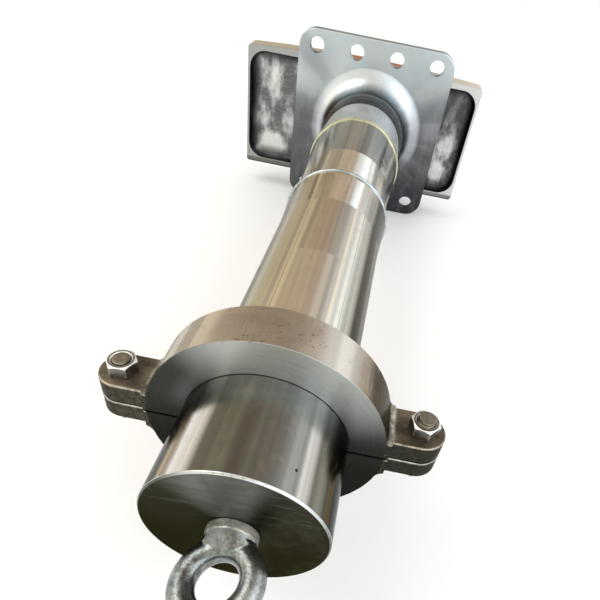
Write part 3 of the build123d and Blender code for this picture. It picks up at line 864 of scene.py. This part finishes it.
# %% [markdown]
# ## Rings and sleeve on the shaft
# The bright ring is round wire in its groove, so it is a small circle spun into a torus. The thin brass
# ring and the pale sleeve behind it are short tubes on the neck.

# %% Rings and sleeve
BRASS_BACK = -177
BRASS_RADIUS = 69.3

wire = spun(round_section(distance=63.4, along=-367, radius=2.4, segments=20), closed=True)
piece(wire, "bright_wire_ring", "wire_ring", [wire_steel], smooth=60)

brass_tube = spun([(NECK_RADIUS, BRASS_FRONT), (BRASS_RADIUS, BRASS_FRONT), (BRASS_RADIUS, BRASS_BACK),
                   (NECK_RADIUS, BRASS_BACK)], closed=True)
break_edges(brass_tube, 0.8, 2)
piece(brass_tube, "thin_brass_ring", "brass_ring", [brass])

sleeve = spun([(NECK_RADIUS, BRASS_BACK), (68.6, BRASS_BACK), (65, SLEEVE_BACK - 1), (64, SLEEVE_BACK),
               (NECK_RADIUS, SLEEVE_BACK)], closed=True)
break_edges(sleeve, 0.4, 2)
piece(sleeve, "pale_sleeve", "rear_sleeve", [pale_steel])

# %% [markdown]
# ## Flat pieces
# A plate is an outline pulled to its thickness, and a hole starts as a rod.

# %% Flat pieces
def rectangle(left, right, bottom, top, y):
    """A flat upright face at one place along the shaft, in millimetres."""
    bm = bmesh.new()
    corners = (left, bottom), (right, bottom), (right, top), (left, top)
    bm.faces.new([bm.verts.new(Vector((x, y, z)) * MM) for x, z in corners])
    return bm


def pull(bm, length):
    """Extrudes all the faces along the shaft by length millimetres."""
    made = bmesh.ops.extrude_face_region(bm, geom=bm.faces[:])
    moved = [v for v in made["geom"] if isinstance(v, bmesh.types.BMVert)]
    bmesh.ops.translate(bm, verts=moved, vec=(0, length * MM, 0))
    bmesh.ops.recalc_face_normals(bm, faces=bm.faces)
    return bm


def rod(radius, start, end, segments=48):
    """A cylinder between two points in millimetres."""
    bm = bmesh.new()
    span = (Vector(end) - Vector(start)) * MM
    turn = Vector((0, 0, 1)).rotation_difference(span).to_matrix().to_4x4()
    middle = (Vector(start) + Vector(end)) * MM / 2
    bmesh.ops.create_cone(bm, cap_ends=True, segments=segments, radius1=radius * MM, radius2=radius * MM,
                          depth=span.length, matrix=Matrix.Translation(middle) @ turn)
    return bm


print("helpers for flat pieces ready")

# %% [markdown]
# ## Booleans
# Holes, pockets and unions are Booleans, run once on throwaway objects, so that the finished piece
# carries no live cutters. A voxel remesh melts solids together, for a forging that has no sharp joints.

# %% Booleans
def throwaway(bm):
    """A short-lived object that holds the bmesh, which is used up."""
    mesh = bpy.data.meshes.new("throwaway")
    bm.to_mesh(mesh)
    bm.free()
    return placed("throwaway", mesh)


def bake(made, *others):
    """The object's shape after its modifiers, as a new bmesh; the objects are removed."""
    whole = bpy.data.meshes.new_from_object(made.evaluated_get(bpy.context.evaluated_depsgraph_get()))
    result = bmesh.new()
    result.from_mesh(whole)
    bpy.data.meshes.remove(whole)
    for used in (made, *others):
        mesh = used.data
        bpy.data.objects.remove(used)
        bpy.data.meshes.remove(mesh)
    return result


def carve(body, tool, how="DIFFERENCE"):
    """Boolean of two bmeshes; both are used up, and the result comes back as a new one."""
    body, tool = throwaway(body), throwaway(tool)
    cutter = body.modifiers.new("carve", "BOOLEAN")
    cutter.operation = how
    cutter.object = tool
    cutter.solver = "EXACT"
    return bake(body, tool)


def melt(bm, voxel, rounds):
    """Melts overlapping solids into one soft skin: a voxel remesh, then rounds of smoothing."""
    body = throwaway(bm)
    skin = body.modifiers.new("melt", "REMESH")
    skin.mode = "VOXEL"
    skin.voxel_size = voxel * MM
    soft = body.modifiers.new("soften", "SMOOTH")
    soft.factor = 0.5
    soft.iterations = rounds
    return bake(body)


print("helpers for Booleans ready")

# %% [markdown]
# ## Flange plate
# A square plate with rounded corners and two rows of bolt holes. Its hub is turned with a hollow flare,
# which is a bevel with a wide round profile in the corner between the hub and the plate.

# %% Flange plate
PLATE_SIDE, PLATE_TOP, PLATE_CORNER = 131, 141.5, 28
HUB_FRONT = -56
FLARE = 33
HOLE_RADIUS = 12
HOLE_ROWS = (118, -118)
HOLE_COLUMNS = (-101.25, -33.75, 33.75, 101.25)

plate = rectangle(-PLATE_SIDE, PLATE_SIDE, -PLATE_TOP, PLATE_TOP, PLATE_FRONT)
bmesh.ops.bevel(plate, geom=plate.verts[:], offset=PLATE_CORNER * MM, segments=14, profile=0.5,
                affect="VERTICES", material=-1)
pull(plate, -PLATE_FRONT)
break_edges(plate, 1.5, 3, 60, where=lambda p: p.y < PLATE_FRONT + 1)
foot_y = PLATE_FRONT + 0.1
foot_radius = HUB_RADIUS + FLARE + 2
hub = spun([(55, -6), (55, HUB_FRONT), (HUB_RADIUS, HUB_FRONT), (HUB_RADIUS, foot_y), (foot_radius, foot_y),
            (foot_radius, -6)], closed=True)
break_edges(hub, FLARE, 22, where=lambda p: abs(math.hypot(p.x, p.z) - HUB_RADIUS) < 1 and p.y > -15)
break_edges(hub, 0.8, 2, where=lambda p: p.y < HUB_FRONT + 1)
plate = carve(plate, hub, "UNION")
plate = carve(plate, rod(NECK_RADIUS, (0, -80, 0), (0, 20, 0), 160))
for row in HOLE_ROWS:
    for column in HOLE_COLUMNS:
        plate = carve(plate, rod(HOLE_RADIUS, (column, -30, row), (column, 10, row)))
piece(plate, "flared_plate", "flange_plate", [steel_plate])

# %% [markdown]
# ## Crosshead block
# A low, wide block behind the plate with a slightly crowned top. Each wing has a milled pocket: a box
# whose upright corners and floor edges are rounded first, then cut out of the block.

# %% Crosshead block
BLOCK_LEFT, BLOCK_RIGHT = -221, 187
CROWN = 7.5
POCKET_INNER, POCKET_CORNER, POCKET_FILLET = 82, 28, 12
half_width = (BLOCK_RIGHT - BLOCK_LEFT) / 2
centre_x = (BLOCK_RIGHT + BLOCK_LEFT) / 2

block = rectangle(BLOCK_LEFT, BLOCK_RIGHT, BLOCK_BOTTOM, BLOCK_SHOULDER, 0)
bmesh.ops.subdivide_edges(block, edges=[e for e in block.edges if min(v.co.z for v in e.verts) > 0], cuts=31)
for vert in block.verts:
    if vert.co.z > 0:
        share = (vert.co.x / MM - centre_x) / half_width
        vert.co.z += CROWN * (1 - share * share) * MM
pull(block, BLOCK_BACK)
break_edges(block, 5, 5, 60, where=lambda p: 1 < p.y < BLOCK_BACK - 1)
block = carve(block, rod(SPIGOT_RADIUS, (0, -5, 0), (0, 40, 0), 96))
for left, right in ((POCKET_LEFT, -POCKET_INNER), (POCKET_INNER, POCKET_RIGHT)):
    pocket = rectangle(left, right, POCKET_BOTTOM, POCKET_TOP, -6)
    pull(pocket, POCKET_FLOOR + 6)
    break_edges(pocket, POCKET_CORNER, 14, 60, where=lambda p: -5 < p.y < POCKET_FLOOR - 1)
    break_edges(pocket, POCKET_FILLET, 7, 60, where=lambda p: p.y > POCKET_FLOOR - 1)
    block = carve(block, pocket)
break_edges(block, 0.8, 2, 50, where=lambda p: abs(p.y) < 0.1 or abs(p.y - BLOCK_BACK) < 0.1)
piece(block, "pocketed_block", "crosshead_block", [steel_block])

# %% [markdown]
# ## Clamp halves
# The clamp's form is already exact in the CAD part, ears and root radii included. Its triangles are
# merged and the flat ones joined, then the edges are broken. The upper edges, and the seam edges of the
# ears, get the bright steel: worn metal with a painted highlight where they face the light above. Between
# the halves the seam stays dark.

# %% Clamp halves
def from_cad(node):
    """A merged copy of a CAD node, with its flat faces whole again."""
    bm = bmesh.new()
    bm.from_mesh(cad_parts[node].data)
    bmesh.ops.remove_doubles(bm, verts=bm.verts, dist=0.01 * MM)
    bmesh.ops.dissolve_limit(bm, angle_limit=math.radians(0.8), verts=bm.verts, edges=bm.edges)
    return bm


def lit_worn_edge(p):
    """Whether the edge at a point gets bright steel, a painted highlight on worn metal: above the seam, or
    just under it on the ears.
    """
    return p.z > 3 or (-3 < p.z < 0 and abs(p.x) > CLAMP_RADIUS + 1)


for side in ("upper", "lower"):
    half = from_cad(f"clamp_{side}_half")
    break_edges(half, 0.7, 2, 40, where=lit_worn_edge, finish=1)
    break_edges(half, 0.4, 2, 60, where=lambda p: not lit_worn_edge(p))
    piece(half, f"clamp_{side}", f"clamp_{side}_half", [steel_clamp, bright_edge])

# %% [markdown]
# ## Clamp nuts
# A nut is a hexagon trimmed by a cone at its top corners, with a countersunk bore.

# %% Clamp nuts
BOLT_Y = -703.5
NUT_TOP = 29
NUT_CORNER = 12.12


def hexagon(bottom, top, turn, x):
    """A six-sided bar round the bolt at x, turned by degrees."""
    bm = bmesh.new()
    middle = Vector((x, BOLT_Y, (bottom + top) / 2)) * MM
    place = Matrix.Translation(middle) @ Matrix.Rotation(math.radians(turn + 30), 4, "Z")
    bmesh.ops.create_cone(bm, cap_ends=True, segments=6, radius1=NUT_CORNER * MM, radius2=NUT_CORNER * MM,
                          depth=(top - bottom) * MM, matrix=place)
    return bm


def make_nut(x, turn):
    centre = (x, BOLT_Y, 0)
    trimmer = [(0, EAR_TOP), (10.2, EAR_TOP), (12.3, EAR_TOP + 1.4), (12.3, NUT_TOP - 1.4), (9.9, NUT_TOP),
               (0, NUT_TOP)]
    bore = [(0, 10), (7.05, 10), (7.05, NUT_TOP - 1), (8.2, NUT_TOP + 0.1), (8.2, 33), (0, 33)]
    nut = hexagon(EAR_TOP - 0.5, NUT_TOP + 0.5, turn, x)
    nut = carve(nut, spun(trimmer, 72, centre=centre, axis=(0, 0, 1)), "INTERSECT")
    nut = carve(nut, spun(bore, 48, centre=centre, axis=(0, 0, 1)))
    # Painted highlight: broken edges and upward facing chamfers get near white steel.
    break_edges(nut, 0.45, 2, 25, finish=1)
    for face in nut.faces:
        if 0.3 < face.normal.z < 0.95:
            face.material_index = 1
    return nut


print("nuts stand on the ears at", EAR_TOP, "mm")

# %% [markdown]
# ## Clamp bolts
# Above its nut a bolt shows a turn or two of thread, which is a zigzag profile spun round the bolt. A row
# of the table has the bolt's side, its place, the turn of its head and of its nut in degrees, and how
# high it ends.

# %% Clamp bolts
BOLT_X = 117
BOLTS = (("left", -BOLT_X, 26, 6, 30), ("right", BOLT_X, 38, 46, 33))
HEAD_BOTTOM = -26.8
PITCH = 2


def make_bolt(x, turn, top):
    profile = [(0, HEAD_BOTTOM + 0.1), (6.9, HEAD_BOTTOM + 0.1), (6.9, 14)]
    for number in range((top - 17) // PITCH):
        profile += [(6.95, 15 + PITCH * number), (6.1, 16 + PITCH * number)]
    profile += [(6.75, top - 1), (6.35, top - 0.25), (5.8, top), (0, top)]
    bolt = spun(profile, 48, centre=(x, BOLT_Y, 0), axis=(0, 0, 1))
    bolt = carve(bolt, hexagon(HEAD_BOTTOM, -EAR_TOP, turn, x), "UNION")
    break_edges(bolt, 0.3, 1, 50, where=lambda p: p.z < 1 - EAR_TOP)
    return bolt


for side, x, head_turn, nut_turn, top in BOLTS:
    piece(make_nut(x, nut_turn), f"hex_nut_{side}", f"clamp_nut_{side}", [nut_steel, nut_chamfer_highlight])
    bolt = make_bolt(x, head_turn, top)
    piece(bolt, f"hex_bolt_{side}", f"clamp_bolt_{side}", [thread_steel])

# %% [markdown]
# ## Lifting eye
# Drop forging leaves soft shapes that run into each other. The ring, the collar and the wide foot of the
# ring are made as plain solids, melted together by a voxel remesh, smoothed, and only then turned to the
# angle that the eye was screwed in to.

# %% Lifting eye
EYE_MIDDLE = -837
EYE_RING_RADIUS, EYE_BAR_RADIUS = 21.8, 8.3
FOOT_RADIUS, FOOT_WIDTH, FOOT_DEPTH = 16.4, 23.2, 6.6
FOOT_END = -820

eye = bmesh.new()
bmesh.ops.create_circle(eye, cap_ends=False, segments=32, radius=EYE_BAR_RADIUS * MM)
bmesh.ops.translate(eye, verts=eye.verts, vec=Vector((EYE_RING_RADIUS, 0, 0)) * MM)
bmesh.ops.rotate(eye, verts=eye.verts, cent=(0, 0, 0), matrix=Matrix.Rotation(math.radians(90), 3, "X"))
bmesh.ops.spin(eye, geom=eye.verts[:] + eye.edges[:], axis=(0, 0, 1), angle=math.tau, steps=72, use_merge=True)
bmesh.ops.translate(eye, verts=eye.verts, vec=Vector((0, EYE_MIDDLE, 0)) * MM)
bmesh.ops.recalc_face_normals(eye, faces=eye.faces)
collar = spun([(0, NEAR_END), (17.5, NEAR_END), (17.5, EYE_COLLAR_FRONT + 1.5), (16, EYE_COLLAR_FRONT),
               (0, EYE_COLLAR_FRONT)], 72)
foot = spun([(0, NEAR_END - 2), (FOOT_RADIUS, NEAR_END - 2), (FOOT_RADIUS, EYE_COLLAR_FRONT + 0.1),
             (FOOT_RADIUS, FOOT_END), (0, FOOT_END)], 72)
for vert in foot.verts:
    if vert.co.y < (FOOT_END + 1) * MM:
        vert.co.x *= FOOT_WIDTH / FOOT_RADIUS
        vert.co.z *= FOOT_DEPTH / FOOT_RADIUS
eye = carve(carve(eye, collar, "UNION"), foot, "UNION")
eye = melt(eye, 0.7, 9)
for vert in eye.verts:
    vert.co.y = min(vert.co.y, (NEAR_END - 0.02) * MM)
bmesh.ops.rotate(eye, verts=eye.verts, cent=(0, 0, 0), matrix=Matrix.Rotation(math.radians(-15), 3, "Y"))
piece(eye, "forged_eye", "eye_bolt", [zinc_plating], smooth=70)

# %% [markdown]
# ## Floor and light
# A pale floor just under the lowest edge of the plate, and one large soft light from the upper left.

# %% Floor and light
floor_height = (-PLATE_TOP - 0.2) * MM
floor_mesh = bpy.data.meshes.new("floor")
floor_shape = bmesh.new()
bmesh.ops.create_grid(floor_shape, x_segments=1, y_segments=1, size=8)
bmesh.ops.translate(floor_shape, verts=floor_shape.verts, vec=(0, 2, floor_height))
floor_shape.to_mesh(floor_mesh)
floor_shape.free()
floor = placed("floor", floor_mesh)
floor_paint, floor_shader, _ = new_material("floor_paint")
floor_shader.inputs["Base Color"].default_value = (0.88, 0.9, 0.93, 1)
floor_shader.inputs["Roughness"].default_value = 0.7
floor_mesh.materials.append(floor_paint)

lamp_data = bpy.data.lights.new("key", "AREA")
lamp_data.shape = "SQUARE"
lamp_data.size = 1.6
lamp_data.energy = 22
lamp = placed("key", lamp_data)
lamp.location = (-1.5, -0.6, 1.9)
lamp_target = Vector((0, -0.4, 0))
lamp.rotation_euler = (lamp_target - lamp.location).to_track_quat("-Z", "Y").to_euler()
print("floor at", round(floor_height, 4), "m, and the key light")

# %% [markdown]
# ## Studio sky
# The sky changes with the angle round the shaft's axis: a white strip on the right, a paler wall low on
# the left and straw-coloured walls between them, which polished round steel shows as long streaks. It is
# brighter on the near side, which lights the floor. A colour ramp holds no value above 1, so the colours
# are divided by the sky's peak, and the strength multiplies them back.

# %% Studio sky
SKY_PEAK = 1.5
SKY_STOPS = (
    (-180, 0.3, 0.3, 0.29), (-110, 0.4, 0.4, 0.39), (-95, 0.8, 0.78, 0.72), (-76, 0.82, 0.78, 0.68),
    (-61, 0.72, 0.66, 0.55), (-45, 0.61, 0.56, 0.47), (-13, 0.53, 0.48, 0.41), (6, 0.56, 0.52, 0.46),
    (20, 0.68, 0.66, 0.62), (30, 0.84, 0.84, 0.83), (40, 1.3, 1.34, 1.38), (68, 1.32, 1.36, 1.4),
    (80, 0.86, 0.86, 0.86), (95, 0.55, 0.55, 0.53), (180, 0.3, 0.3, 0.29),
)
studio = bpy.data.worlds.new("studio")
bpy.context.scene.world = studio
studio.use_nodes = True
sky = Wire(studio.node_tree).node("ShaderNodeTexCoord", out=0)
turn = turn_angle(sky) * (1 / 360) + 0.5
stops = [(a / 360 + 0.5, (r / SKY_PEAK, g / SKY_PEAK, b / SKY_PEAK, 1)) for a, r, g, b in SKY_STOPS]
glow = turn.node("ShaderNodeValToRGB", {"stops": stops}, {0: turn})
strength = SKY_PEAK + (1 - sky.axis("Y").rise(0, 0.35)) * 1.3
backdrop = studio.node_tree.nodes["Background"]
plug(backdrop, "Color", glow)
plug(backdrop, "Strength", strength)
bpy.context.scene.view_settings.view_transform = "Standard"
print("studio sky with", len(SKY_STOPS), "stops")
